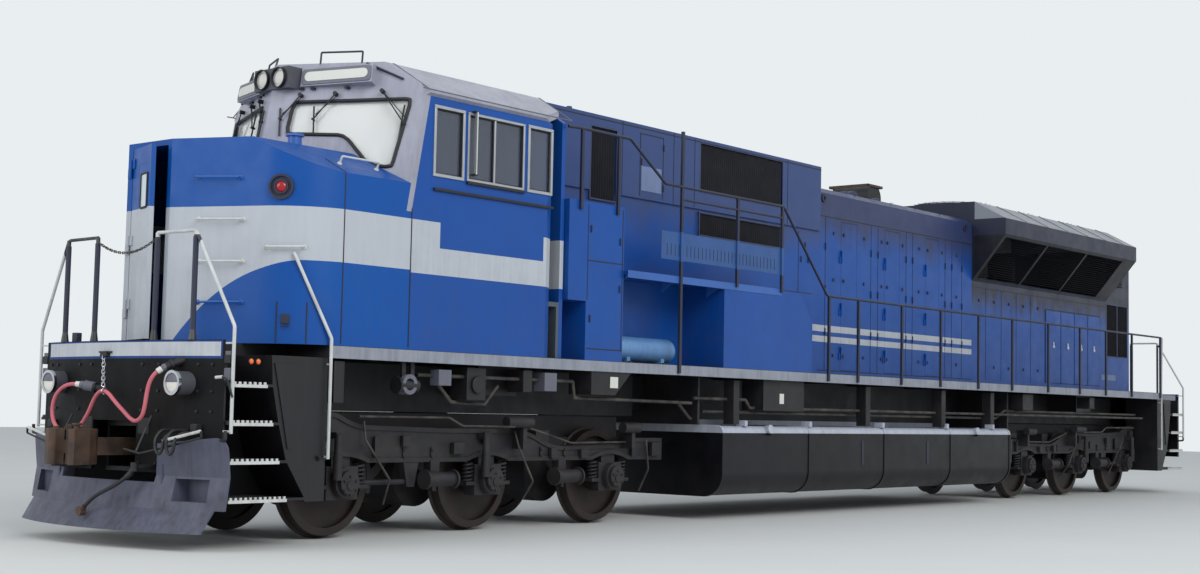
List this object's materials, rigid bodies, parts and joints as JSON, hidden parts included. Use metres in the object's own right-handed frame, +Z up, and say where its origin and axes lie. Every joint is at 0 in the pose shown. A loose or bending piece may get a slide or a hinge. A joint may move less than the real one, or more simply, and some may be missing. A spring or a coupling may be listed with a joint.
{
  "type": "six-axle diesel locomotive",
  "caption": "Road diesel locomotive with a wide nose cab, long hood with flared radiators, two three-axle trucks, end steps and handrails.",
  "frame": {"origin": "centre of the length and width, at the level of the wheel flange tips", "axes": "+X forward to the nose, +Y to the left side, +Z up"},
  "size_m": [24.426, 3.188, 4.933],
  "materials": {
    "blue_paint": "semi-gloss blue enamel",
    "grey_paint": "satin light grey enamel",
    "black_paint": "satin near-black enamel with road dirt",
    "plow_paint": "worn dark paint rubbed grey",
    "white_paint": "gloss white enamel",
    "cast_steel": "rough cast steel",
    "wheel_steel": "forged steel, bright tread",
    "fan_metal": "cast aluminium",
    "grille_metal": "matt dark mesh",
    "horn_metal": "cast aluminium",
    "window_glass": "clear safety glass",
    "lamp_glass": "clear lens",
    "cab_interior": "satin interior enamel",
    "seat_vinyl": "black seat covering",
    "cable_rubber": "matt salmon red rubber",
    "hose_rubber": "matt black rubber"
  },
  "bodies": {
    "underframe": {"air_fittings": "black_paint", "air_horn": "horn_metal", "air_reservoir": "black_paint", "brake_hose": "hose_rubber", "cab_floor": "cab_interior", "cab_front": "grey_paint", "cab_rear_wall": "blue_paint", "cab_roof": "grey_paint", "cab_seats": "seat_vinyl", "cab_sides": "blue_paint", "cab_windows": "window_glass", "control_desks": "cab_interior", "end_handrails": "white_paint", "end_plates": "black_paint", "engine_block": "cast_steel", "engine_hood": "blue_paint", "equipment_cabinet": "blue_paint", "exhaust_stack": "black_paint", "fuel_tank": "black_paint", "grilles": "grille_metal", "hose_coupling": "cast_steel", "jumper_cable": "cable_rubber", "jumper_chain": "cast_steel", "jumper_sockets": "black_paint", "lamps": "lamp_glass", "nose_shell": "blue_paint", "number_boards": "grey_paint", "radiator_housing": "blue_paint", "side_handrails": "black_paint", "side_lockers": "blue_paint", "sill_boxes": "black_paint", "snow_plow": "plow_paint", "step_wells": "black_paint", "underframe": "blue_paint"},
    "truck_front": {"truck_frame_front": "black_paint", "axle_boxes_front": "black_paint", "traction_motors_front": "black_paint"},
    "coupler_front": {"coupler_front": "cast_steel"},
    "truck_rear": {"truck_frame_rear": "black_paint", "axle_boxes_rear": "black_paint", "traction_motors_rear": "black_paint"},
    "coupler_rear": {"coupler_rear": "cast_steel"},
    "wheelset_1": {"wheelset_1": "wheel_steel"},
    "wheelset_2": {"wheelset_2": "wheel_steel"},
    "wheelset_3": {"wheelset_3": "wheel_steel"},
    "wheelset_4": {"wheelset_4": "wheel_steel"},
    "wheelset_5": {"wheelset_5": "wheel_steel"},
    "wheelset_6": {"wheelset_6": "wheel_steel"},
    "radiator_fan_1": {"radiator_fan_1": "fan_metal"},
    "hood_door_left_1": {"hood_door_left_1": "blue_paint"},
    "hood_door_right_1": {"hood_door_right_1": "blue_paint"},
    "radiator_fan_2": {"radiator_fan_2": "fan_metal"},
    "hood_door_left_2": {"hood_door_left_2": "blue_paint"},
    "hood_door_right_2": {"hood_door_right_2": "blue_paint"},
    "radiator_fan_3": {"radiator_fan_3": "fan_metal"},
    "hood_door_left_3": {"hood_door_left_3": "blue_paint"},
    "hood_door_right_3": {"hood_door_right_3": "blue_paint"},
    "nose_door": {"nose_door": "blue_paint"},
    "cab_rear_door": {"cab_rear_door": "blue_paint"}
  },
  "joints": [
    {"name": "truck_front_swivel", "type": "hinge", "parent": "underframe", "child": "truck_front", "pos_m": [7.595, 0, 1.208], "axis": [0, 0, 1], "range_deg": [-5, 5]},
    {"name": "truck_rear_swivel", "type": "hinge", "parent": "underframe", "child": "truck_rear", "pos_m": [-7.595, 0, 1.208], "axis": [0, 0, 1], "range_deg": [-5, 5]},
    {"name": "wheelset_1_spin", "type": "hinge", "parent": "truck_front", "child": "wheelset_1", "pos_m": [9.665, 0, 0.5615], "axis": [0, 1, 0], "continuous": true},
    {"name": "wheelset_2_spin", "type": "hinge", "parent": "truck_front", "child": "wheelset_2", "pos_m": [7.595, 0, 0.5615], "axis": [0, 1, 0], "continuous": true},
    {"name": "wheelset_3_spin", "type": "hinge", "parent": "truck_front", "child": "wheelset_3", "pos_m": [5.525, 0, 0.5615], "axis": [0, 1, 0], "continuous": true},
    {"name": "wheelset_4_spin", "type": "hinge", "parent": "truck_rear", "child": "wheelset_4", "pos_m": [-5.525, 0, 0.5615], "axis": [0, 1, 0], "continuous": true},
    {"name": "wheelset_5_spin", "type": "hinge", "parent": "truck_rear", "child": "wheelset_5", "pos_m": [-7.595, 0, 0.5615], "axis": [0, 1, 0], "continuous": true},
    {"name": "wheelset_6_spin", "type": "hinge", "parent": "truck_rear", "child": "wheelset_6", "pos_m": [-9.665, 0, 0.5615], "axis": [0, 1, 0], "continuous": true},
    {"name": "coupler_front_swing", "type": "hinge", "parent": "underframe", "child": "coupler_front", "pos_m": [10.95, 0, 0.888], "axis": [0, 0, 1], "range_deg": [-7, 7]},
    {"name": "coupler_rear_swing", "type": "hinge", "parent": "underframe", "child": "coupler_rear", "pos_m": [-10.95, 0, 0.888], "axis": [0, 0, 1], "range_deg": [-7, 7]},
    {"name": "nose_door_hinge", "type": "hinge", "parent": "underframe", "child": "nose_door", "pos_m": [11.14, -0.505, 2.828], "axis": [0, 0, -1], "range_deg": [-18, 62]},
    {"name": "cab_rear_door_hinge", "type": "hinge", "parent": "underframe", "child": "cab_rear_door", "pos_m": [6.88, -0.975, 2.828], "axis": [0, 0, -1], "range_deg": [0, 88]},
    {"name": "hood_door_left_1_hinge", "type": "hinge", "parent": "underframe", "child": "hood_door_left_1", "pos_m": [0.22, 0.93, 3.028], "axis": [0, 0, -1], "range_deg": [0, 120]},
    {"name": "hood_door_right_1_hinge", "type": "hinge", "parent": "underframe", "child": "hood_door_right_1", "pos_m": [0.22, -0.93, 3.028], "axis": [0, 0, 1], "range_deg": [0, 120]},
    {"name": "hood_door_left_2_hinge", "type": "hinge", "parent": "underframe", "child": "hood_door_left_2", "pos_m": [-1.02, 0.93, 3.028], "axis": [0, 0, -1], "range_deg": [0, 120]},
    {"name": "hood_door_right_2_hinge", "type": "hinge", "parent": "underframe", "child": "hood_door_right_2", "pos_m": [-1.02, -0.93, 3.028], "axis": [0, 0, 1], "range_deg": [0, 120]},
    {"name": "hood_door_left_3_hinge", "type": "hinge", "parent": "underframe", "child": "hood_door_left_3", "pos_m": [-2.26, 0.93, 3.028], "axis": [0, 0, -1], "range_deg": [0, 120]},
    {"name": "hood_door_right_3_hinge", "type": "hinge", "parent": "underframe", "child": "hood_door_right_3", "pos_m": [-2.26, -0.93, 3.028], "axis": [0, 0, 1], "range_deg": [0, 120]},
    {"name": "radiator_fan_1_spin", "type": "hinge", "parent": "underframe", "child": "radiator_fan_1", "pos_m": [-4.845, 0, 4.828], "axis": [0, 0, 1], "continuous": true},
    {"name": "radiator_fan_2_spin", "type": "hinge", "parent": "underframe", "child": "radiator_fan_2", "pos_m": [-6.475, 0, 4.828], "axis": [0, 0, 1], "continuous": true},
    {"name": "radiator_fan_3_spin", "type": "hinge", "parent": "underframe", "child": "radiator_fan_3", "pos_m": [-8.105, 0, 4.828], "axis": [0, 0, 1], "continuous": true}
  ]
}
